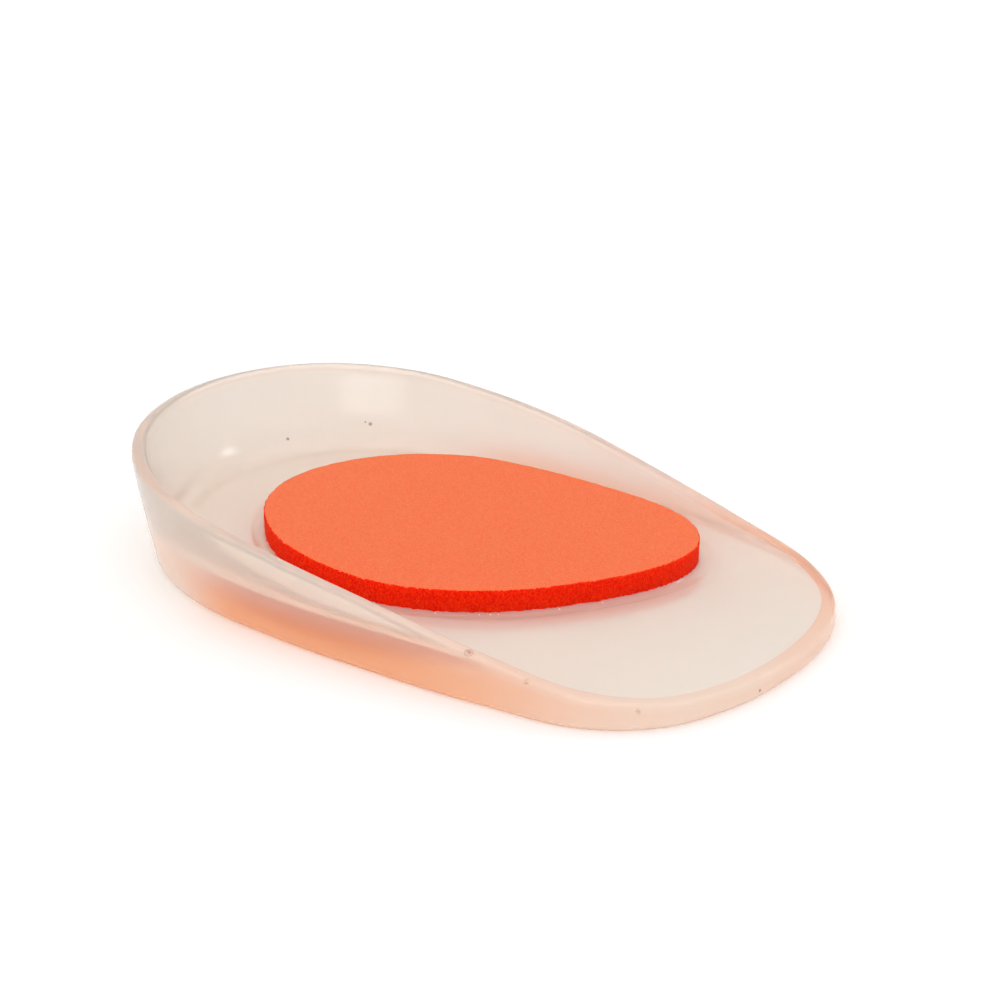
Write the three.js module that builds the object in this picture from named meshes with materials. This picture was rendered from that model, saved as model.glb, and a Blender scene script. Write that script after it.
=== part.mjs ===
// A heel cup: a clear moulded gel cup that cradles the heel in a shoe, with a soft foam pad set
// in a shallow well in its floor. The left or right cup of a pair; this is the one whose pad points
// its narrow end forward and to the left.
// Millimetres. +X points to the toe end, +Y to the left, +Z up. The flat underside stands on z = 0,
// and the origin is under the middle of the cup.
import * as THREE from "three";

// Driving dimensions of the gel cup.
const cupLength = 105; // over all, from the back of the heel to the toe edge
const cupWidth = 66.2; // over all, at the widest part of the rim
const heelHeight = 17.4; // from the underside to the crest of the rim at the back of the heel
const toeHeight = 2.9; // from the underside to the top of the thin toe edge
const floorThickness = 4.9; // gel under the heel, beside the pad
const rimWidth = 1.9; // the rounded top edge of the wall
const heelShelf = 10.0; // at the heel: from the outer edge of the rim in to the flat floor
const sideShelf = 3.5; // the same beside the ball of the floor, where the wall is low
const heelLean = 3.5; // how far the heel's wall draws in on its way down
const heelEdgeRadius = 3.2; // bottom edge at the heel
const toeEdgeRadius = 0.9; // bottom edge at the toe

// Driving dimensions of the foam pad and of the well that it lies in.
const padLength = 63.2; // along the pad's own long axis
const padWidth = 46.8;
const padThickness = 3.2;
const padTurn = THREE.MathUtils.degToRad(15); // long axis, turned left from the cup's
const padForward = 0.6; // middle of the pad, forward of the middle of the cup
const padAside = 1.6; // and to the left of it
const padEdgeRadius = 0.3; // the small softness of a die-cut edge
const wellDepth = 0.7;
const wellMargin = 2.2; // the well's upper edge lies this far outside the pad
const wellGap = 0.7; // and its lower edge this far
const padClearance = 0.3; // adhesive film between the pad and the floor of the well

// How finely the soft shapes are cut into flat faces.
const stations = 96; // round the cup and round the pad
const edgeSteps = 3; // in the bottom edge and in each side of the rim
const wallSteps = 4; // up the outside
const shelfSteps = 7; // down the inside

// The outer edge of the rim seen from above, one row per point, from the middle of the toe
// round the left side to the heel and back along the right side.
// along: share of half the cup's length. across: share of half its width.
const rimPlan = [
  { along: 1.0, across: 0.03 },
  { along: 0.975, across: 0.39 },
  { along: 0.9, across: 0.65 },
  { along: 0.75, across: 0.83 },
  { along: 0.5, across: 0.912 },
  { along: 0.2, across: 0.968 },
  { along: -0.1, across: 1.0 },
  { along: -0.4, across: 0.968 },
  { along: -0.65, across: 0.875 },
  { along: -0.85, across: 0.661 },
  { along: -0.96, across: 0.385 },
  { along: -1.0, across: 0.03 },
  { along: -0.96, across: -0.3 },
  { along: -0.85, across: -0.604 },
  { along: -0.65, across: -0.862 },
  { along: -0.4, across: -0.989 },
  { along: -0.1, across: -0.984 },
  { along: 0.2, across: -0.92 },
  { along: 0.5, across: -0.846 },
  { along: 0.75, across: -0.754 },
  { along: 0.9, across: -0.563 },
  { along: 0.975, across: -0.29 },
];

// Cross-sections of the cup, one row per section, from the heel to the toe.
// along: place, as a share of half the cup's length.
// crest: height of the rim, from 0 at toeHeight to 1 at heelHeight.
// floor: height of the floor, from 0 at the toe edge to 1 at floorThickness.
// shelf: rim to floor, from 0 at sideShelf to 1 at heelShelf.
// lean: share of heelLean; below 0 the foot of the wall stands outside the rim.
// edge: bottom edge radius, from 0 at toeEdgeRadius to 1 at heelEdgeRadius.
const sections = [
  { along: -1.0, crest: 1.0, floor: 1.0, shelf: 1.0, lean: 1.0, edge: 1.0 },
  { along: -0.8, crest: 0.945, floor: 1.0, shelf: 0.99, lean: 0.67, edge: 0.91 },
  { along: -0.57, crest: 0.87, floor: 1.0, shelf: 0.94, lean: 0.45, edge: 0.65 },
  { along: -0.35, crest: 0.775, floor: 1.0, shelf: 0.78, lean: 0.38, edge: 0.43 },
  { along: -0.12, crest: 0.655, floor: 1.0, shelf: 0.42, lean: 0.27, edge: 0.24 },
  { along: 0.12, crest: 0.5, floor: 1.0, shelf: 0.12, lean: 0.05, edge: 0.15 },
  { along: 0.35, crest: 0.345, floor: 0.97, shelf: 0.03, lean: -0.08, edge: 0.08 },
  { along: 0.57, crest: 0.2, floor: 0.82, shelf: 0.0, lean: -0.09, edge: 0.04 },
  { along: 0.73, crest: 0.105, floor: 0.55, shelf: -0.03, lean: -0.1, edge: 0.0 },
  { along: 0.88, crest: 0.035, floor: 0.22, shelf: -0.1, lean: -0.06, edge: 0.0 },
  { along: 1.0, crest: 0.0, floor: 0.0, shelf: -0.15, lean: 0.0, edge: 0.0 },
];
const leanCurve = 1.2; // above 1 the wall leans out low down and stands upright under the rim
const wallBend = 0.28; // the inside turns from wall to floor at this share of the way inward
const toeFloorDrop = 0.15; // the floor meets the toe edge this far below its top

// The pad seen from above, in its own axes, one row per point, from the tip round the left side.
// along: share of half the pad's length. across: share of half its width.
const padPlan = [
  { along: 1.0, across: 0.18 },
  { along: 0.93, across: 0.47 },
  { along: 0.75, across: 0.68 },
  { along: 0.4, across: 0.856 },
  { along: 0.0, across: 0.977 },
  { along: -0.35, across: 1.0 },
  { along: -0.7, across: 0.81 },
  { along: -0.93, across: 0.455 },
  { along: -1.0, across: 0.08 },
  { along: -0.93, across: -0.3 },
  { along: -0.7, across: -0.675 },
  { along: -0.35, across: -0.925 },
  { along: 0.0, across: -1.0 },
  { along: 0.4, across: -0.837 },
  { along: 0.75, across: -0.46 },
  { along: 0.94, across: -0.12 },
];

const halfLength = cupLength / 2;
const halfWidth = cupWidth / 2;
const padCentre = new THREE.Vector2(padForward, padAside);
const wellFloor = floorThickness - wellDepth;
const toeFloor = toeHeight - toeFloorDrop;

// A smooth closed curve through the rows of a plan, in millimetres.
function planCurve(rows, halfAlong, halfAcross) {
  const points = rows.map(
    (row) => new THREE.Vector3(row.along * halfAlong, row.across * halfAcross, 0),
  );
  return new THREE.CatmullRomCurve3(points, true, "centripetal");
}

// The value of one column of the sections at a place along the cup, on a smooth line through the rows.
function sectionValue(column, along) {
  const last = sections.length - 1;
  if (along <= sections[0].along) return sections[0][column];
  if (along >= sections[last].along) return sections[last][column];
  const right = sections.findIndex((row) => row.along > along);
  const [a, b] = [sections[right - 1], sections[right]];
  const before = sections[Math.max(right - 2, 0)];
  const after = sections[Math.min(right + 1, last)];
  const span = b.along - a.along;
  const slopeA = (b[column] - before[column]) / (b.along - before.along);
  const slopeB = (after[column] - a[column]) / (after.along - a.along);
  const t = (along - a.along) / span;
  return (
    a[column] * (2 * t ** 3 - 3 * t ** 2 + 1) +
    slopeA * span * (t ** 3 - 2 * t ** 2 + t) +
    b[column] * (3 * t ** 2 - 2 * t ** 3) +
    slopeB * span * (t ** 3 - t ** 2)
  );
}

// A value that the sections blend between its size at the toe and its size at the heel.
function blended(column, along, atToe, atHeel) {
  return atToe + (atHeel - atToe) * sectionValue(column, along);
}

function floorHeight(x) {
  return blended("floor", x / halfLength, toeFloor, floorThickness);
}

// Distance from the middle of the pad to its edge in a direction of the cup's axes.
const padCurve = planCurve(padPlan, padLength / 2, padWidth / 2);
const padEdge = padCurve.getSpacedPoints(stations * 4).map((p) => ({
  angle: Math.atan2(p.y, p.x),
  reach: Math.hypot(p.x, p.y),
}));
padEdge.sort((a, b) => a.angle - b.angle);
function padReach(direction) {
  const turned = direction - padTurn;
  const angle = Math.atan2(Math.sin(turned), Math.cos(turned));
  let right = padEdge.findIndex((point) => point.angle > angle);
  if (right < 0) right = 0;
  const a = padEdge[(right + padEdge.length - 1) % padEdge.length];
  const b = padEdge[right];
  const span = (b.angle - a.angle + 2 * Math.PI) % (2 * Math.PI);
  const passed = (angle - a.angle + 2 * Math.PI) % (2 * Math.PI);
  return span === 0 ? b.reach : a.reach + ((b.reach - a.reach) * passed) / span;
}
function padRim(direction, margin, z) {
  const reach = padReach(direction) + margin;
  return new THREE.Vector3(
    padCentre.x + reach * Math.cos(direction),
    padCentre.y + reach * Math.sin(direction),
    z,
  );
}

// Points of the cup's section at one station, from the underside over the rim to the well.
// inward is the distance from the outer edge of the rim towards the inside, up is the height.
function cupSection(edgePoint, outward) {
  const along = edgePoint.x / halfLength;
  const crest = blended("crest", along, toeHeight, heelHeight);
  const shelf = blended("shelf", along, sideShelf, heelShelf);
  const radius = blended("edge", along, toeEdgeRadius, heelEdgeRadius);
  const lean = sectionValue("lean", along) * heelLean;
  const points = [];
  const add = (inward, up) =>
    points.push(new THREE.Vector3().copy(edgePoint).addScaledVector(outward, -inward).setZ(up));

  // Bottom edge: a quarter round from the underside to the foot of the wall.
  for (let i = 0; i <= edgeSteps; i++) {
    const turn = ((i / edgeSteps) * Math.PI) / 2;
    add(lean + radius * (1 - Math.sin(turn)), radius * (1 - Math.cos(turn)));
  }
  // Outside of the wall: it leans out on its way up and is upright below the rim.
  const rimRound = rimWidth / 2;
  const rimFall = Math.min(rimRound, (crest - radius) / 2);
  const shoulder = crest - rimFall;
  for (let i = 1; i < wallSteps; i++) {
    const t = i / wallSteps;
    add(lean * (1 - t) ** leanCurve, radius + (shoulder - radius) * t);
  }
  // Rim: two quarter rounds. The inner one falls no lower than the floor behind it.
  for (let i = 0; i <= edgeSteps; i++) {
    const turn = ((i / edgeSteps) * Math.PI) / 2;
    add(rimRound * (1 - Math.cos(turn)), shoulder + rimFall * Math.sin(turn));
  }
  const foot = new THREE.Vector3().copy(edgePoint).addScaledVector(outward, -shelf);
  foot.z = floorHeight(foot.x);
  const innerFall = Math.min(rimRound, Math.max(crest - foot.z, 0) / 2);
  for (let i = 1; i <= edgeSteps; i++) {
    const turn = ((i / edgeSteps) * Math.PI) / 2;
    add(rimRound + rimRound * Math.sin(turn), crest - innerFall * (1 - Math.cos(turn)));
  }
  // Inside of the wall: steep under the rim and level where it meets the floor.
  const top = crest - innerFall;
  const bend = rimWidth + (shelf - rimWidth) * wallBend;
  for (let i = 1; i <= shelfSteps; i++) {
    const t = i / shelfSteps;
    const inward = (1 - t) ** 2 * rimWidth + 2 * t * (1 - t) * bend + t ** 2 * shelf;
    const up = (1 - t) ** 2 * top + (2 * t * (1 - t) + t ** 2) * foot.z;
    add(inward, up);
  }
  // Floor, the well's slope and the well's own floor under the pad.
  const direction = Math.atan2(foot.y - padCentre.y, foot.x - padCentre.x);
  const brink = padRim(direction, wellMargin, 0);
  brink.z = Math.max(floorHeight(brink.x), wellFloor);
  const between = new THREE.Vector3().lerpVectors(foot, brink, 0.5);
  between.z = Math.max(floorHeight(between.x), Math.min(foot.z, brink.z));
  points.push(between, brink, padRim(direction, wellGap, wellFloor));
  return points;
}

// A closed surface through rings of points. Each ring runs anticlockwise seen from above; the first
// ring closes under the part and the last one closes on top of it.
function closedSurface(rings, bottomCentre, topCentre) {
  const count = rings[0].length;
  const points = [bottomCentre, ...rings.flat(), topCentre];
  const index = [];
  const at = (ring, i) => 1 + ring * count + (i % count);
  for (let i = 0; i < count; i++) {
    index.push(0, at(0, i + 1), at(0, i));
    for (let ring = 0; ring + 1 < rings.length; ring++) {
      index.push(at(ring, i), at(ring, i + 1), at(ring + 1, i + 1));
      index.push(at(ring, i), at(ring + 1, i + 1), at(ring + 1, i));
    }
    index.push(at(rings.length - 1, i), at(rings.length - 1, i + 1), points.length - 1);
  }
  const geometry = new THREE.BufferGeometry().setFromPoints(points);
  geometry.setIndex(index);
  geometry.computeVertexNormals();
  return geometry;
}

// Gel cup.
function gelCupGeometry() {
  const outline = planCurve(rimPlan, halfLength, halfWidth);
  const columns = [];
  for (let i = 0; i < stations; i++) {
    const edgePoint = outline.getPointAt(i / stations);
    const tangent = outline.getTangentAt(i / stations);
    const outward = new THREE.Vector3(tangent.y, -tangent.x, 0).normalize();
    columns.push(cupSection(edgePoint, outward));
  }
  const rings = columns[0].map((_, ring) => columns.map((column) => column[ring]));
  const underside = new THREE.Vector3(0, 0, 0);
  const wellCentre = new THREE.Vector3(padCentre.x, padCentre.y, wellFloor);
  return closedSurface(rings, underside, wellCentre);
}

// Foam pad: die-cut from sheet, with both faces flat.
function foamPadGeometry() {
  const bottom = wellFloor + padClearance;
  const top = bottom + padThickness;
  const edge = [
    { margin: -padEdgeRadius, z: bottom },
    { margin: 0, z: bottom + padEdgeRadius },
    { margin: 0, z: top - padEdgeRadius },
    { margin: -padEdgeRadius, z: top },
  ];
  const directions = Array.from({ length: stations }, (_, i) => (i / stations) * 2 * Math.PI);
  const rings = edge.map(({ margin, z }) =>
    directions.map((direction) => padRim(direction, margin, z)),
  );
  const centre = (z) => new THREE.Vector3(padCentre.x, padCentre.y, z);
  return closedSurface(rings, centre(bottom), centre(top));
}

const gel = new THREE.MeshStandardMaterial({
  color: 0xeee2d6,
  roughness: 0.2,
  metalness: 0,
  transparent: true,
  opacity: 0.6,
});
const foam = new THREE.MeshStandardMaterial({ color: 0xf07850, roughness: 0.9, metalness: 0 });

const gelCup = new THREE.Mesh(gelCupGeometry(), gel);
gelCup.name = "gel_cup";
const foamPad = new THREE.Mesh(foamPadGeometry(), foam);
foamPad.name = "foam_pad";

const heelCup = new THREE.Group();
heelCup.add(gelCup, foamPad);
export default heelCup;
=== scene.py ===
# %% [markdown]
# # A gel heel cup
#
# A heel cup lies in the back of a shoe. It is moulded in one piece from a clear, slightly milky gel,
# with a rim that stands up round the heel and runs down to a thin toe edge. A pad of orange foam,
# cut from sheet, is set in the middle of its floor, where the heel bone presses.
#
# Two pieces, then, and both are soft. The only other thing made is a row of tiny bubbles at the foam's
# foot. What makes the object look real is not a lot of parts but how light goes through the gel: the
# near wall glows peach because it shows the underside of the pad. So the cells below spend their care
# on three things: the true section of the gel, the contact between the gel and the foam, and the two
# materials.

import bisect
import math

import bpy
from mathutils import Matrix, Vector, noise


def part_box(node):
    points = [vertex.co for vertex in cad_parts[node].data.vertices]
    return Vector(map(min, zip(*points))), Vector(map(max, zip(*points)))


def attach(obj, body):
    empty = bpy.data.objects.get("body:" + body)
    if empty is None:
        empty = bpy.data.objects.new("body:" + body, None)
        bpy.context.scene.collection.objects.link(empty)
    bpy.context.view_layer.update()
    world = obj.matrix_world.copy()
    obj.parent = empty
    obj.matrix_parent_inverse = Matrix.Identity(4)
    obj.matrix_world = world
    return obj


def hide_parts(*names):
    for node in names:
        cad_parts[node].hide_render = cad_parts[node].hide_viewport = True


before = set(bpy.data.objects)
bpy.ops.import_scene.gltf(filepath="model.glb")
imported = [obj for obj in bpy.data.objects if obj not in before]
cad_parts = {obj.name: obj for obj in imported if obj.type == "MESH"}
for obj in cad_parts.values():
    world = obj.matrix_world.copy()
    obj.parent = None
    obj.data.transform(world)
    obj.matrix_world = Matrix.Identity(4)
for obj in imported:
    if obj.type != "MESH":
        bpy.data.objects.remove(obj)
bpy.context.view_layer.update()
mm = 0.001
cup_low, cup_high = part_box("gel_cup")
pad_low, pad_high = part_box("foam_pad")
print("cup", [round(side / mm, 1) for side in cup_high - cup_low], "mm")
print("pad", [round(side / mm, 1) for side in pad_high - pad_low], "mm")

# %% [markdown]
# ## The camera
#
# The picture that this scene answers was taken from in front of the toe end and a little above, with
# a short telephoto lens. The camera comes first, so that every later step can be judged through it.
# It looks down at the same angle and from the same distance. It is turned just enough to take in the
# whole cup, and its lens is a little longer, so that the cup fills the picture.

# %% Camera
camera_place = Vector((149.8, -172.4, 103.9)) * mm
camera_tilt_down = math.radians(22.1)
camera_heading = math.radians(39.6)
camera_lens = 64.0

bpy.ops.object.select_all(action="DESELECT")
bpy.ops.object.camera_add(
    location=camera_place, rotation=(math.pi / 2 - camera_tilt_down, 0, camera_heading)
)
camera = bpy.context.object
camera.name = "camera"
camera.data.lens = camera_lens
camera.data.clip_start = 1 * mm
bpy.context.scene.camera = camera
print("camera", round(camera_place.length / mm), "mm away,",
      "looking down", round(math.degrees(camera_tilt_down)), "degrees")

# %% [markdown]
# ## The shape of the gel cup
#
# The cup can't be made by extruding one outline, nor by spinning one section. But it has a clear
# logic. Seen from above, the rim follows one smooth closed line. At each place along that line the
# wall has a section: a rounded bottom edge, an outside that leans out, a rounded rim, an inside that
# sweeps down to the floor, and the floor itself. Only a few sizes of the section change from heel to
# toe. So the form is written as one outline and one table of sections, and everything between them is
# worked out smoothly.

# %% The cup's sizes
half_length = (cup_high.x - cup_low.x) / 2
half_width = (cup_high.y - cup_low.y) / 2
heel_height = cup_high.z
toe_height = 2.9 * mm
floor_thickness = 4.9 * mm
rim_width = 1.9 * mm
rim_squareness = 0.6
heel_shelf = 10.0 * mm
side_shelf = 3.5 * mm
heel_lean = 3.5 * mm
heel_edge_radius = 3.2 * mm
toe_edge_radius = 0.9 * mm
toe_floor_drop = 0.15 * mm
lean_curve = 1.2
wall_bend = 0.28

# The outer edge of the rim from above, from the middle of the toe round the left side:
# share of half the length, share of half the width.
rim_plan = [
    (1.0, 0.03), (0.975, 0.39), (0.9, 0.65), (0.75, 0.83), (0.5, 0.912), (0.2, 0.968),
    (-0.1, 1.0), (-0.4, 0.968), (-0.65, 0.875), (-0.85, 0.661), (-0.96, 0.385), (-1.0, 0.03),
    (-0.96, -0.3), (-0.85, -0.604), (-0.65, -0.862), (-0.4, -0.989), (-0.1, -0.984), (0.2, -0.92),
    (0.5, -0.846), (0.75, -0.754), (0.9, -0.563), (0.975, -0.29),
]

# Place from heel (-1) to toe (1), then: height of the rim, height of the floor, width of the inner
# slope, lean of the wall and radius of the bottom edge. Each counts from 0 for its size at the toe
# (for the slope, along the sides) to 1 for its size at the heel.
section_table = {
    "along": (-1, -0.8, -0.57, -0.35, -0.12, 0.12, 0.35, 0.57, 0.73, 0.88, 1),
    "crest": (1, 0.945, 0.87, 0.775, 0.655, 0.5, 0.345, 0.2, 0.105, 0.035, 0),
    "floor": (1, 1, 1, 1, 1, 1, 0.97, 0.82, 0.55, 0.22, 0),
    "shelf": (1, 0.99, 0.94, 0.78, 0.42, 0.12, 0.03, 0, -0.03, -0.1, -0.15),
    "lean": (1, 0.67, 0.45, 0.38, 0.27, 0.05, -0.08, -0.09, -0.1, -0.06, 0),
    "edge": (1, 0.91, 0.65, 0.43, 0.24, 0.15, 0.08, 0.04, 0, 0, 0),
}
print("outline", len(rim_plan), "points; sections", len(section_table["along"]))

# %% A smooth closed line through a few points
def spline_point(points, place):
    """A point on the smooth closed line through points; place counts from 0 to 1 once round."""
    count = len(points)
    first = int(place * count) % count
    p = [points[(first + step) % count] for step in (-1, 0, 1, 2)]
    knots = [0.0]
    for a, b in zip(p, p[1:]):
        knots.append(knots[-1] + math.sqrt((b - a).length))
    t = knots[1] + (knots[2] - knots[1]) * (place * count - int(place * count))

    def blend(a, b, low, high):
        return a * ((high - t) / (high - low)) + b * ((t - low) / (high - low))

    a1 = blend(p[0], p[1], knots[0], knots[1])
    a2 = blend(p[1], p[2], knots[1], knots[2])
    a3 = blend(p[2], p[3], knots[2], knots[3])
    b1 = blend(a1, a2, knots[0], knots[2])
    b2 = blend(a2, a3, knots[1], knots[3])
    return blend(b1, b2, knots[1], knots[2])


def even_loop(points, stations, fine=4000):
    """Points at equal distances along the smooth closed line, each with its outward direction."""
    line = [spline_point(points, step / fine) for step in range(fine)]
    lengths = [0.0]
    for step in range(fine):
        lengths.append(lengths[-1] + (line[(step + 1) % fine] - line[step]).length)
    loop, step = [], 0
    for station in range(stations):
        while lengths[step + 1] < lengths[-1] * station / stations:
            step += 1
        run = (line[(step + 1) % fine] - line[step - 1]).normalized()
        loop.append((line[step], Vector((run.y, -run.x, 0))))
    return loop


cup_stations = 288
rim_points = [Vector((along * half_length, across * half_width, 0)) for along, across in rim_plan]
rim_loop = even_loop(rim_points, cup_stations)
rim_length = sum((rim_loop[i][0] - rim_loop[i - 1][0]).length for i in range(cup_stations))
print("rim line", round(rim_length / mm), "mm")

# %% One value of the section table, at any place along the cup
def section_share(column, along):
    """The table's value between its rows, on a smooth line."""
    places, values = section_table["along"], section_table[column]
    if along <= places[0]:
        return values[0]
    if along >= places[-1]:
        return values[-1]
    right = next(i for i, place in enumerate(places) if place > along)
    left = right - 1
    before, after = max(left - 1, 0), min(right + 1, len(places) - 1)
    span = places[right] - places[left]
    slope_left = (values[right] - values[before]) / (places[right] - places[before])
    slope_right = (values[after] - values[left]) / (places[after] - places[left])
    t = (along - places[left]) / span
    return (
        values[left] * (2 * t**3 - 3 * t**2 + 1)
        + slope_left * span * (t**3 - 2 * t**2 + t)
        + values[right] * (3 * t**2 - 2 * t**3)
        + slope_right * span * (t**3 - t**2)
    )


def between(column, along, at_toe, at_heel):
    """A size at one place along the cup, from its size at the toe and at the heel."""
    return at_toe + (at_heel - at_toe) * section_share(column, along)


def floor_height(x):
    """Height of the gel's floor at a place along the cup, in metres."""
    return between("floor", x / half_length, toe_height - toe_floor_drop, floor_thickness)


print("floor at the toe", round(floor_height(half_length) / mm, 2), "mm, at the heel",
      round(floor_height(-half_length) / mm, 2), "mm")

# %% [markdown]
# ## Where the foam pad lies
#
# The well in the gel's floor follows the outline of the pad, so the pad's outline comes before the
# gel is built. It is an egg whose narrow end points forward and to the left. The gel wets the foam's
# foot and climbs a little up its side, as if it was poured round it. That small fillet matters twice.
# It hides the dark slit that two pieces laid on each other would show, and with no air between them
# the gel shows the underside of the pad, as the real one does.

# %% The pad's outline and the well round it
pad_half_length = 31.6 * mm
pad_half_width = 23.4 * mm
pad_turn = math.radians(15)
pad_centre = Vector((0.6, 1.6, 0)) * mm
well_depth = 0.7 * mm
well_margin = 2.2 * mm
well_gap = 1.25 * mm
fillet_rise = 0.55 * mm
pad_bite = 0.2 * mm

# The pad's edge in its own axes, from the tip round the left side.
pad_plan = [
    (1.0, 0.18), (0.93, 0.47), (0.75, 0.68), (0.4, 0.856), (0.0, 0.977), (-0.35, 1.0),
    (-0.7, 0.81), (-0.93, 0.455), (-1.0, 0.08), (-0.93, -0.3), (-0.7, -0.675), (-0.35, -0.925),
    (0.0, -1.0), (0.4, -0.837), (0.75, -0.46), (0.94, -0.12),
]
pad_points = [
    Vector((along * pad_half_length, across * pad_half_width, 0)) for along, across in pad_plan
]
pad_outline_steps = 720
pad_line = [point for point, _ in even_loop(pad_points, pad_outline_steps)]
well_floor = floor_thickness - well_depth
pad_angles = sorted(
    (math.atan2(point.y, point.x) % (2 * math.pi), point.length) for point in pad_line
)


def pad_reach(direction):
    """Distance from the middle of the pad to its edge, in a direction of the cup's axes."""
    wanted = (direction - pad_turn) % (2 * math.pi)
    right = bisect.bisect(pad_angles, (wanted, 0)) % len(pad_angles)
    (low, near), (high, far) = pad_angles[right - 1], pad_angles[right]
    share = ((wanted - low) % (2 * math.pi)) / ((high - low) % (2 * math.pi))
    return near + (far - near) * share


def beside_pad(direction, margin, height):
    """A point in a direction from the middle of the pad, this far outside of its edge."""
    reach = pad_reach(direction) + margin
    return Vector(
        (pad_centre.x + reach * math.cos(direction), pad_centre.y + reach * math.sin(direction), height)
    )


print("pad reach forward", round(pad_reach(0) / mm, 1), "mm, back", round(pad_reach(math.pi) / mm, 1), "mm")

# %% [markdown]
# ## From a flat blank of rings to the cup
#
# By hand one would draw the outline, extrude it again and again, and scale and lift each new ring
# into the next line of the section. The cells do the same. The blank is a circle whose edge is
# extruded and drawn in once for each line of the section, which gives clean quads all over and no
# pole in any curved place. Then each point of the blank is lifted to where it belongs: its ring says
# how far it is along the section, and its angle says at which place round the rim.

# %% A blank of rings
ring_shrink = 0.96


def ring_blank(name, stations, rings):
    """Flat rings of quads, extruded one from another; the two open ends are filled."""
    bpy.ops.object.select_all(action="DESELECT")
    bpy.ops.mesh.primitive_circle_add(vertices=stations, radius=1, fill_type="NOTHING")
    blank = bpy.context.object
    blank.name = name
    blank.data.name = name
    bpy.ops.object.mode_set(mode="EDIT")
    bpy.ops.mesh.select_all(action="SELECT")
    for _ in range(rings - 1):
        bpy.ops.mesh.extrude_edges_move()
        bpy.ops.transform.resize(value=(ring_shrink, ring_shrink, 1))
    bpy.ops.mesh.select_all(action="SELECT")
    bpy.ops.mesh.fill_holes(sides=0)
    bpy.ops.object.mode_set(mode="OBJECT")
    return blank


def lift_rings(blank, columns):
    """Moves each point of the blank to its place: columns[station][ring]."""
    stations = len(columns)
    for vertex in blank.data.vertices:
        angle = math.atan2(vertex.co.y, vertex.co.x) % (2 * math.pi)
        station = round(angle / (2 * math.pi) * stations) % stations
        ring = round(math.log(vertex.co.xy.length) / math.log(ring_shrink))
        vertex.co = columns[station][ring]
    bpy.ops.object.mode_set(mode="EDIT")
    bpy.ops.mesh.select_all(action="SELECT")
    bpy.ops.mesh.normals_make_consistent(inside=False)
    bpy.ops.object.mode_set(mode="OBJECT")


# %% How finely the section is drawn
round_steps = 6
rim_steps = 9
wall_steps = 10
shelf_steps = 20
wall_rings = 2 + round_steps + wall_steps

# Two lines on the underside, inward from the bottom edge.
under_lines = (3 * mm, 0.5 * mm)
# Lines on the floor, as shares of the way from the foot of the wall to the well.
floor_lines = (0.3, 0.6, 0.88)
brink_lift = 0.05 * mm
# The fillet: distance from the foam's side, and share of the fillet's rise.
fillet_lines = ((0.5 * mm, 0.1), (0.13 * mm, 0.5), (-0.05 * mm, 1.0))
# Under the foam the gel lies a little above the foam's underside, so that no air is between them.
bite_lines = (-0.5 * mm, -4 * mm)


def quarter(steps, start=0):
    """The angles of a quarter turn in equal steps."""
    return [step / steps * math.pi / 2 for step in range(start, steps + 1)]


print("rings outside, with the underside", wall_rings)

# %% The wall, from under the cup over the rim to the foot of its inside
def wall_section(crest, shelf, radius, lean, foot_height):
    """Pairs of a distance inward from the rim's outer edge and a height."""
    # Under the cup, and the bottom edge.
    line = [(lean + radius + inward, 0) for inward in under_lines]
    for turn in quarter(round_steps):
        line.append((lean + radius * (1 - math.sin(turn)), radius * (1 - math.cos(turn))))
    # Outside of the wall.
    rim_round = rim_width / 2
    rim_fall = min(rim_round, (crest - radius) / 2)
    shoulder = crest - rim_fall
    for step in range(1, wall_steps):
        share = step / wall_steps
        line.append((lean * (1 - share) ** lean_curve, radius + (shoulder - radius) * share))
    # Rim, outer and inner half: nearly flat on top, with a tight round at each side.
    for turn in quarter(rim_steps):
        across, up = math.cos(turn) ** rim_squareness, math.sin(turn) ** rim_squareness
        line.append((rim_round * (1 - across), shoulder + rim_fall * up))
    inner_fall = min(rim_round, max(crest - foot_height, 0) / 2)
    for turn in quarter(rim_steps, start=1):
        across, up = math.sin(turn) ** rim_squareness, math.cos(turn) ** rim_squareness
        line.append((rim_round * (1 + across), crest - inner_fall * (1 - up)))
    # Inside of the wall, in one bend from the rim to the floor.
    top = crest - inner_fall
    bend = rim_width + (shelf - rim_width) * wall_bend
    for step in range(1, shelf_steps + 1):
        t = step / shelf_steps
        inward = (1 - t) ** 2 * rim_width + 2 * t * (1 - t) * bend + t**2 * shelf
        line.append((inward, (1 - t) ** 2 * top + (2 * t * (1 - t) + t**2) * foot_height))
    return line


# %% The floor, from the foot of the wall to under the pad
def floor_section(foot):
    """Points on the floor, the slope of the well, the fillet and the gel under the pad."""
    direction = math.atan2(foot.y - pad_centre.y, foot.x - pad_centre.x)
    brink = beside_pad(direction, well_margin, 0)
    brink.z = max(floor_height(brink.x), well_floor + brink_lift)
    line = []
    for share in floor_lines:
        point = foot.lerp(brink, share)
        point.z = max(floor_height(point.x), min(foot.z, brink.z))
        line.append(point)
    line.append(brink)
    line.append(beside_pad(direction, (well_margin + well_gap) / 2, (brink.z + well_floor) / 2))
    line.append(beside_pad(direction, well_gap, well_floor))
    for margin, share in fillet_lines:
        line.append(beside_pad(direction, margin, well_floor + fillet_rise * share))
    for margin in bite_lines:
        line.append(beside_pad(direction, margin, well_floor + pad_bite))
    return line


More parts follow.
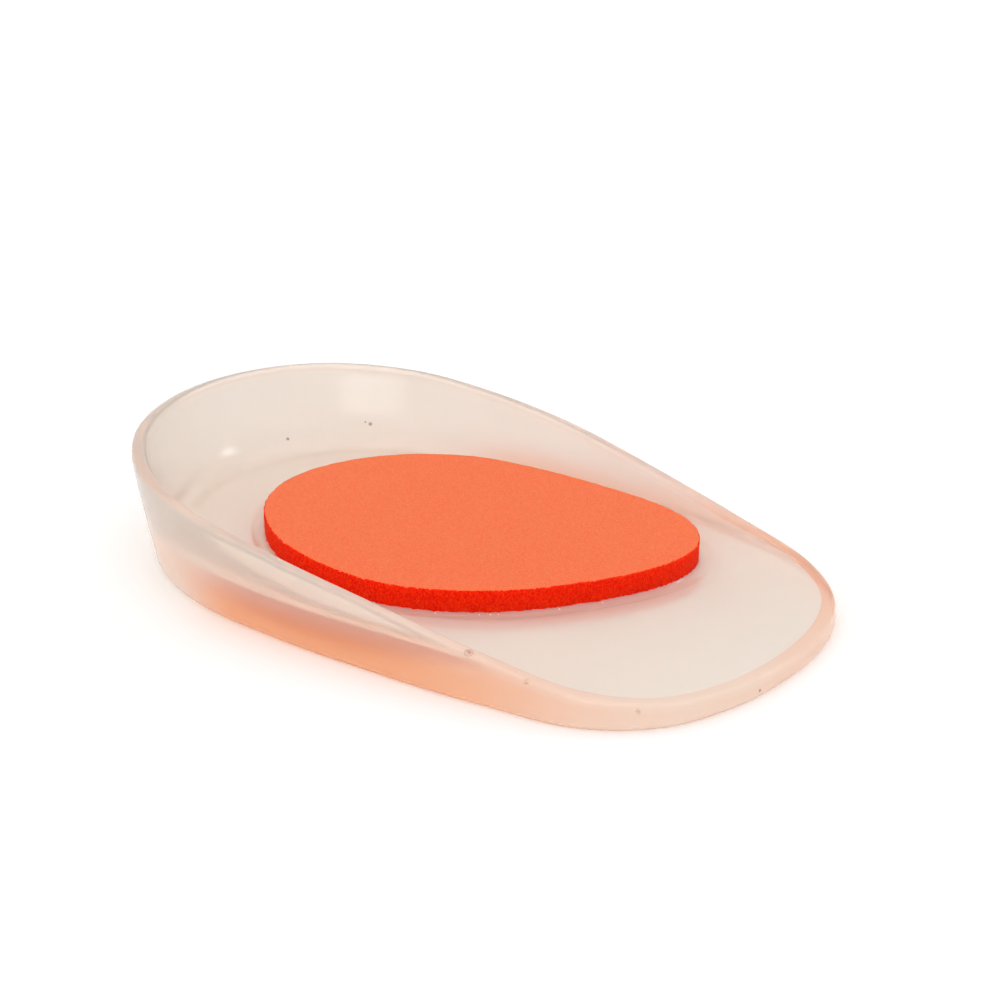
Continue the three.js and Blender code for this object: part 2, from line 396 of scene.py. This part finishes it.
# %% All sections round the cup, and the gel cup from them
def cup_section(edge, outward):
    """All points of the section at one place on the rim."""
    along = edge.x / half_length
    crest = between("crest", along, toe_height, heel_height)
    shelf = between("shelf", along, side_shelf, heel_shelf)
    radius = between("edge", along, toe_edge_radius, heel_edge_radius)
    lean = section_share("lean", along) * heel_lean
    foot = edge - outward * shelf
    foot.z = floor_height(foot.x)
    line = []
    for inward, height in wall_section(crest, shelf, radius, lean, foot.z):
        point = edge - outward * inward
        line.append(Vector((point.x, point.y, height)))
    return line + floor_section(foot)


cup_columns = [cup_section(edge, outward) for edge, outward in rim_loop]
gel_cup = ring_blank("gel_cup_moulding", cup_stations, len(cup_columns[0]))
lift_rings(gel_cup, cup_columns)
bpy.ops.object.shade_smooth()
print("gel cup", len(gel_cup.data.polygons), "faces from", len(cup_columns[0]), "rings")

# %% [markdown]
# ## The foam pad
#
# Such a pad is punched out of sheet with a steel blade, as a cookie is with its cutter. Its faces
# keep the closed skin of the sheet. The blade tears the foam's cells open on its way down, so the
# side is rough and its upper edge is ragged. The same blank of rings serves here, with many more
# stations, and each line of the side is moved in and out by noise: slow waves of about 1.4 mm and
# fine ones of about 0.35 mm.

# %% The foam pad, cut from sheet
pad_stations = 840
pad_edge_radius = 0.25 * mm
pad_edge_steps = 3
cut_lines = (0.0, 0.15, 0.3, 0.45, 0.6, 0.75, 0.9)
# Lines on the two faces, inward from the edge, that keep the shading of the faces flat.
face_near = 0.8 * mm
face_far = 3 * mm
# The cut: how far it wanders, how much more at its upper edge, and where the noise is read.
cut_wander = 0.16 * mm
upper_edge_ragged = 1.6
noise_radius = 40
noise_per_mm_up = 2
slow_waves = 0.5
fine_waves = 2
slow_share = 0.4
pad_bottom = well_floor
pad_top = pad_high.z


def pad_section(direction):
    """From under the pad over its cut side to its top. The cut wanders a little."""
    line = []
    spot = Vector((math.cos(direction), math.sin(direction), 0)) * noise_radius

    def add(margin, height, ragged=1.0):
        here = spot + Vector((0, 0, height / mm * noise_per_mm_up))
        slow, fine = noise.noise(here * slow_waves), noise.noise(here * fine_waves)
        wander = slow * slow_share + fine * (1 - slow_share)
        line.append(beside_pad(direction, margin + wander * cut_wander * ragged, height))

    add(-face_far, pad_bottom, 0)
    add(-pad_edge_radius, pad_bottom, 0)
    for share in cut_lines:
        add(0, pad_bottom + (pad_top - pad_bottom - pad_edge_radius) * share)
    for turn in quarter(pad_edge_steps):
        add(-pad_edge_radius * (1 - math.cos(turn)),
            pad_top - pad_edge_radius * (1 - math.sin(turn)), upper_edge_ragged)
    add(-face_near, pad_top, 0)
    add(-face_far, pad_top, 0)
    return line


pad_columns = [pad_section(2 * math.pi * i / pad_stations) for i in range(pad_stations)]
foam_pad = ring_blank("foam_pad_cut", pad_stations, len(pad_columns[0]))
lift_rings(foam_pad, pad_columns)
bpy.ops.object.shade_smooth()
print("foam pad", len(foam_pad.data.polygons), "faces")

# %% [markdown]
# ## Bubbles at the foot of the foam
#
# Foam is full of air. Where the warm gel met it, a few tiny bubbles came out and were caught at the
# foam's foot. Each is a small ball sunk by half in the fillet. They lie at uneven distances and in
# uneven sizes, because even ones would look like stitches.

# %% Foot bubbles
# Direction from the middle of the pad in degrees, and radius in mm.
foot_bubble_places = (
    (-158, 0.11), (-141, 0.14), (-118, 0.09), (-103, 0.13), (-84, 0.16), (-80, 0.09), (-61, 0.12),
    (-47, 0.1), (-43.5, 0.14), (-41, 0.08), (-22, 0.13), (-9, 0.1), (14, 0.12), (52, 0.1), (96, 0.13),
)
foot_bubble_margin = 0.2 * mm
foot_bubble_height = well_floor + fillet_rise * 0.42


def bubble_at(direction, radius):
    """A small ball in the fillet beside the foam; the direction is in degrees, the radius in mm."""
    bpy.ops.object.select_all(action="DESELECT")
    centre = beside_pad(math.radians(direction), foot_bubble_margin, foot_bubble_height)
    bpy.ops.mesh.primitive_uv_sphere_add(segments=12, ring_count=8, radius=radius * mm, location=centre)
    bpy.ops.object.transform_apply(location=True, rotation=True, scale=True)
    bpy.ops.object.shade_smooth()
    return bpy.context.object


bubbles = [bubble_at(direction, radius) for direction, radius in foot_bubble_places]
foot_bubbles = bubbles[0]
for bubble in bubbles:
    bubble.select_set(True)
bpy.context.view_layer.objects.active = foot_bubbles
bpy.ops.object.join()
foot_bubbles.name = "foot_bubbles"
print("foot bubbles", len(foot_bubble_places), "with", len(foot_bubbles.data.polygons), "faces")

# %% [markdown]
# ## Painted light: the peach that the gel shows beside the foam
#
# Light that has met the orange foam wanders on through the milky gel and comes out of the wall beside
# it. That is why the real wall is peach low down and close to the pad, and cream high up and round the
# heel. A surface shader can't follow that light, so each point of the gel keeps a number for it, and
# that number paints the light into the gel's colour as a peach tint: painted light, not the gel's own
# colour.

# %% The painted glow beside the foam
# Full within glow_near of the foam and gone at glow_far, full below glow_low and gone above glow_high.
glow_near = 9 * mm
glow_far = 34 * mm
glow_low = 2.5 * mm
glow_high = 8.5 * mm
# Everywhere on the outside a little is left, and the rim shows less of it than the wall.
glow_least = 0.12
rim_glow = 0.8
# Behind this place the gel gets thicker and milkier, and the glow fades faster by this factor.
heel_start = -12 * mm
heel_fading = 1.3


def fade(value, full, none):
    """1 at full, 0 at none, and smooth between them."""
    share = min(max((none - value) / (none - full), 0), 1)
    return share * share * (3 - 2 * share)


def skin_glow(ring):
    """The share of the glow that this ring of the gel shows: the inside shows none."""
    if ring < wall_rings:
        return 1.0
    return rim_glow if ring < wall_rings + 2 * rim_steps else 0.0


glow = gel_cup.data.attributes.new("painted_foam_glow", "FLOAT", "POINT")
for vertex in gel_cup.data.vertices:
    away = (vertex.co - pad_centre) * Vector((1, 1, 0))
    distance = away.length - pad_reach(math.atan2(away.y, away.x))
    distance += max(heel_start - vertex.co.x, 0) * heel_fading
    close = fade(distance, glow_near, glow_far) * fade(vertex.co.z, glow_low, glow_high)
    ring = vertex.index // cup_stations
    glow.data[vertex.index].value = skin_glow(ring) * (glow_least + (1 - glow_least) * close)

print("glow from", round(min(point.value for point in glow.data), 2),
      "to", round(max(point.value for point in glow.data), 2))

# %% [markdown]
# ## Materials
#
# One small function adds a node, sets its inputs and links them, and one turns an sRGB hex colour
# into the linear numbers that Blender's sockets want.

# %% Helpers for materials
def linear(hex_colour):
    """An sRGB colour such as "f07850" as linear red, green, blue and alpha."""
    parts = [int(hex_colour[i : i + 2], 16) / 255 for i in (0, 2, 4)]
    return [c / 12.92 if c <= 0.04045 else ((c + 0.055) / 1.055) ** 2.4 for c in parts] + [1.0]


def add_node(tree, kind, settings=None, **inputs):
    """Adds a node; settings are its own properties, inputs are values or sockets to link from.

    An input goes by its label, with _ for each space, or by i and its number where labels repeat.
    """
    node = tree.nodes.new(kind)
    for name, value in (settings or {}).items():
        setattr(node, name, value)
    for name, value in inputs.items():
        socket = node.inputs[int(name[1:])] if name[1:].isdigit() else node.inputs[name.replace("_", " ")]
        if isinstance(value, bpy.types.NodeSocket):
            tree.links.new(value, socket)
        else:
            socket.default_value = value
    return node


def new_material(name):
    """An empty material and its node tree."""
    material = bpy.data.materials.new(name)
    material.use_nodes = True
    material.node_tree.nodes.clear()
    return material, material.node_tree


print("mid grey in linear light", round(linear("808080")[0], 3))

# %% [markdown]
# ## The gel
#
# Such gel is an oil-filled elastomer that goes warm into a polished mould. A fine haze in it scatters
# light, so thin places look like clouded glass and thick ones like milk. The skin copies the polish,
# with a faint waviness from shrinking. Glass alone would look too clean and too dark. So the surface
# is part glass, which bends light and shows what lies behind, and part milk, which scatters it close
# under the skin. Absorption in the depth adds a warm cream where the gel is thick.

# %% Gel: haze, and the glow from the foam painted into its colour
cloud_size = 16.7 * mm
gel, tree = new_material("moulded_milky_elastomer_gel")
place = add_node(tree, "ShaderNodeTexCoord").outputs["Object"]
clouding = add_node(tree, "ShaderNodeTexNoise", Vector=place, Scale=1 / cloud_size, Detail=3.0)
cream = add_node(
    tree, "ShaderNodeMix", {"data_type": "RGBA"},
    i0=clouding.outputs["Fac"], i6=linear("eeece6"), i7=linear("f5f3ed"),
)
# Painted light: the glow number turns the gel's colour towards peach, standing in for the foam's light that
# comes out through the gel.
painted_foam_glow = add_node(tree, "ShaderNodeAttribute", {"attribute_name": "painted_foam_glow"})
tint = add_node(
    tree, "ShaderNodeMix", {"data_type": "RGBA"},
    i0=painted_foam_glow.outputs["Fac"], i6=cream.outputs[2], i7=linear("ffb283"),
)
print("gel clouds", round(cloud_size / mm, 1), "mm across")

# %% Gel: specks of dust moulded in
def distance_to(tree, place, spot):
    """A socket with the distance in metres from the shaded place to a spot, given in mm."""
    node = add_node(
        tree, "ShaderNodeVectorMath", {"operation": "DISTANCE"}, i0=place, i1=Vector(spot) * mm
    )
    return node.outputs["Value"]


# Where each speck lies and its radius, in mm. Its dark core fades out towards its edge.
dust = (
    ((-37.6, 21.5, 7.9), 0.4), ((-38.4, 21.2, 8.1), 0.22),
    ((-45, 10.3, 6.8), 0.35), ((52.1, -4.8, 1.2), 0.3),
)
dust_core = 0.4
for spot, radius in dust:
    speck = add_node(
        tree, "ShaderNodeMapRange", Value=distance_to(tree, place, spot),
        From_Min=radius * dust_core * mm, From_Max=radius * mm, To_Min=0.75, To_Max=0.0,
    )
    tint = add_node(
        tree, "ShaderNodeMix", {"data_type": "RGBA"},
        i0=speck.outputs["Result"], i6=tint.outputs[2], i7=linear("6a4030"),
    )
print("specks of dust", len(dust))

# %% Gel: the skin, and bubbles that burst at it
skin_wave = 2.86 * mm
skin_height = 0.1 * mm
skin = add_node(tree, "ShaderNodeTexNoise", Vector=place, Scale=1 / skin_wave, Detail=4.0)
relief = add_node(
    tree, "ShaderNodeBump", Strength=0.25, Distance=skin_height, Height=skin.outputs["Fac"]
)
# Each burst bubble left a small raised ring round a hollow. Where they are and their radius, in mm.
burst_bubbles = (((25.2, -27.6, 6.5), 0.5), ((33.2, -26.5, 4.9), 0.22), ((45.3, -20.7, 2.7), 0.2))
burst_ring_width = 0.15 * mm
burst_ring_height = 0.3 * mm
# Inside the ring a painted shade deepens the tint to a darker orange, between these two distances from it.
hollow_deep = -0.35 * mm
hollow_brink = -0.1 * mm
for spot, radius in burst_bubbles:
    from_ring = add_node(
        tree, "ShaderNodeMath", {"operation": "SUBTRACT"},
        i0=distance_to(tree, place, spot), i1=radius * mm,
    )
    off_ring = add_node(tree, "ShaderNodeMath", {"operation": "ABSOLUTE"}, i0=from_ring.outputs["Value"])
    ring = add_node(
        tree, "ShaderNodeMapRange", Value=off_ring.outputs["Value"],
        From_Min=0.0, From_Max=burst_ring_width, To_Min=1.0, To_Max=0.0,
    )
    relief = add_node(
        tree, "ShaderNodeBump", Strength=1.0, Distance=burst_ring_height,
        Height=ring.outputs["Result"], Normal=relief.outputs["Normal"],
    )
    # Painted shade: inside the ring the gel's colour goes darker orange, as if shade lay in the hollow.
    hollow = add_node(
        tree, "ShaderNodeMapRange", Value=from_ring.outputs["Value"],
        From_Min=hollow_deep, From_Max=hollow_brink, To_Min=0.8, To_Max=0.0,
    )
    tint = add_node(
        tree, "ShaderNodeMix", {"data_type": "RGBA"},
        i0=hollow.outputs["Result"], i6=tint.outputs[2], i7=linear("c8643c"),
    )
print("burst bubbles", len(burst_bubbles))

# %% Gel: surface and depth
surface = add_node(
    tree, "ShaderNodeBsdfPrincipled", {"subsurface_method": "RANDOM_WALK"},
    Base_Color=tint.outputs[2],
    Roughness=0.13,
    IOR=1.43,
    Transmission_Weight=0.62,
    Subsurface_Weight=1.0,
    Subsurface_Radius=(1.0, 0.95, 0.9),
    Subsurface_Scale=1 * mm,
    Normal=relief.outputs["Normal"],
)
# Lamps light the floor and the foam through the gel: their rays pass its surface nearly whole.
rays = add_node(tree, "ShaderNodeLightPath")
passing = add_node(tree, "ShaderNodeBsdfTransparent", Color=linear("eee3d9"))
surface_or_passing = add_node(
    tree, "ShaderNodeMixShader",
    i0=rays.outputs["Is Shadow Ray"], i1=surface.outputs["BSDF"], i2=passing.outputs["BSDF"],
)
# Blue is lost first on the way through, then green, so thick gel is a warm cream.
depth = add_node(tree, "ShaderNodeVolumeAbsorption", Color=(1.0, 0.5, 0.1, 1.0), Density=24.0)
add_node(
    tree, "ShaderNodeOutputMaterial",
    Surface=surface_or_passing.outputs["Shader"], Volume=depth.outputs["Volume"],
)
gel_cup.data.materials.append(gel)
print("gel", len(tree.nodes), "nodes")

# %% Foot bubbles: foamy gel, pale because the air in it scatters the light
foamy_gel, tree = new_material("foamy_gel_bubbles")
foamy_surface = add_node(
    tree, "ShaderNodeBsdfPrincipled",
    Base_Color=linear("f3d9ca"), Roughness=0.2, Subsurface_Weight=0.5, Subsurface_Scale=0.5 * mm,
)
add_node(tree, "ShaderNodeOutputMaterial", Surface=foamy_surface.outputs["BSDF"])
foot_bubbles.data.materials.append(foamy_gel)
print("foamy gel", len(tree.nodes), "nodes")

# %% [markdown]
# ## The foam
#
# It is microcellular urethane, cast as a sheet and dyed through. Where the sheet has its skin, the
# cells are closed and the face is smooth, matte and a little paler, with a fine speckle. Where it was
# cut, the cells are open, so the side is much rougher. Its deep, saturated red is partly the cut foam's
# own colour and partly painted light, standing in for the light that bounces in the gel and the foam
# round the side. It is the same foam twice, so one function makes both and takes what differs. Light
# wanders far in such foam, and red the farthest, which gives the soft glow at its edges.

# %% Foam: the skin of the sheet, and its cut side
# The real cells are about 0.1 mm. They are drawn twice as coarse, so that they show in the picture.
skin_grain = 0.222 * mm
cut_grain = 0.227 * mm
cell_depth = 0.1 * mm


def foam_material(name, dark, pale, grain_size, upright, bump, roughness):
    """Foam with cells of this size, stretched upwards where upright is below 1."""
    foam, tree = new_material(name)
    place = add_node(tree, "ShaderNodeTexCoord").outputs["Object"]
    drawn = add_node(tree, "ShaderNodeMapping", Vector=place, Scale=(1.0, 1.0, upright))
    grain = add_node(
        tree, "ShaderNodeTexNoise", Vector=drawn.outputs["Vector"], Scale=1 / grain_size, Detail=3.0
    )
    cells = add_node(tree, "ShaderNodeMapRange", Value=grain.outputs["Fac"], From_Min=0.35, From_Max=0.65)
    colour = add_node(
        tree, "ShaderNodeMix", {"data_type": "RGBA"},
        i0=cells.outputs["Result"], i6=linear(dark), i7=linear(pale),
    )
    relief = add_node(
        tree, "ShaderNodeBump", Strength=bump, Distance=cell_depth, Height=cells.outputs["Result"]
    )
    surface = add_node(
        tree, "ShaderNodeBsdfPrincipled",
        Base_Color=colour.outputs[2],
        Roughness=roughness,
        Subsurface_Weight=1.0,
        Subsurface_Radius=(1.0, 0.22, 0.1),
        Subsurface_Scale=4 * mm,
        IOR=1.45,
        Specular_IOR_Level=0.15,
        Normal=relief.outputs["Normal"],
    )
    # Foam this thin lets some of a lamp's red light through, so its underside glows.
    rays = add_node(tree, "ShaderNodeLightPath")
    passing = add_node(tree, "ShaderNodeBsdfTransparent", Color=linear("f6c096"))
    surface_or_passing = add_node(
        tree, "ShaderNodeMixShader",
        i0=rays.outputs["Is Shadow Ray"], i1=surface.outputs["BSDF"], i2=passing.outputs["BSDF"],
    )
    add_node(tree, "ShaderNodeOutputMaterial", Surface=surface_or_passing.outputs["Shader"])
    return foam


foam_skin = foam_material("urethane_foam_sheet_skin", "e4623a", "ea764e", skin_grain, 1.0, 0.35, 0.85)
# The cut side's darker, redder colours are partly the foam's own and partly painted light from the gel and
# foam round it.
foam_cut_partly_painted = foam_material("urethane_foam_die_cut_partly_painted", "d40200", "f23408", cut_grain, 0.7, 0.7, 0.95)
foam_pad.data.materials.append(foam_skin)
foam_pad.data.materials.append(foam_cut_partly_painted)
least_flat = 0.8
for face in foam_pad.data.polygons:
    face.material_index = 0 if abs(face.normal.z) > least_flat else 1
print("faces of cut foam", sum(face.material_index for face in foam_pad.data.polygons))

# %% [markdown]
# ## Fixing the pieces to the frame
#
# The imported model knows two nodes. Here each finished piece is carried by the body root, and the
# imported node that it stands for is hidden. The bubbles stand for nothing in the imported model and
# only ride along. The foam is soft, but a sheet of foam keeps its form.

# %% What each piece stands for
for piece, node, slot in ((gel_cup, "gel_cup", "gel"), (foam_pad, "foam_pad", "foam")):
    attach(piece, "root")
    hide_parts(node)
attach(foot_bubbles, "root")
print("pieces on the body root: gel cup, foam pad and foot bubbles")

# %% [markdown]
# ## Floor and light
#
# The cup lies on a sheet of white card in an even white surround. The gel clings to the card as it does
# to a hand, with no air between them. In air, the underside would throw light back like a mirror and
# the near wall would turn dark, so the card lies a hair above the underside, inside the gel.
#
# Two large softboxes give the light, one above and one beside the camera. Two small ones are there for
# their reflections alone: they draw the thin bright lines along the rim and the toe edge.

# %% Floor
floor_size = 4
card_in_gel = 0.03 * mm
bpy.ops.object.select_all(action="DESELECT")
bpy.ops.mesh.primitive_plane_add(size=floor_size, location=(0, 0, card_in_gel))
floor = bpy.context.object
floor.name = "floor"
# The card takes the faint shadow under the cup and has no shine of its own.
card, tree = new_material("matte_white_card")
card_surface = add_node(
    tree, "ShaderNodeBsdfPrincipled", Base_Color=linear("fafafa"), Roughness=0.9, Specular_IOR_Level=0.1
)
add_node(tree, "ShaderNodeOutputMaterial", Surface=card_surface.outputs["BSDF"])
floor.data.materials.append(card)
print("floor", floor_size, "m square")

# %% Light
surround_strength = 0.84
world = bpy.data.worlds.new("studio")
bpy.context.scene.world = world
world.use_nodes = True
world.node_tree.nodes["Background"].inputs["Color"].default_value = (1, 1, 1, 1)
world.node_tree.nodes["Background"].inputs["Strength"].default_value = surround_strength


def soft_light(name, place, size, power):
    """A square lamp that faces the cup; place and size are in metres, power in watts."""
    bpy.ops.object.select_all(action="DESELECT")
    bpy.ops.object.light_add(type="AREA", location=place)
    lamp = bpy.context.object
    lamp.name = name
    lamp.data.size = size
    lamp.data.energy = power
    lamp.rotation_euler = (Vector((0, 0, 0)) - Vector(place)).to_track_quat("-Z", "Y").to_euler()


soft_light("softbox_above", (-0.2, 0.4, 1.8), 1.8, 7.5)
soft_light("softbox_front", (0.9, -1.6, 0.6), 1.2, 9.5)
soft_light("strip_left", (-1.6, -1.0, 1.0), 0.35, 2.5)
soft_light("strip_back", (0.8, 1.4, 1.2), 0.35, 2.0)
bpy.context.scene.view_settings.view_transform = "Standard"
print("surround", surround_strength, "and four lamps")
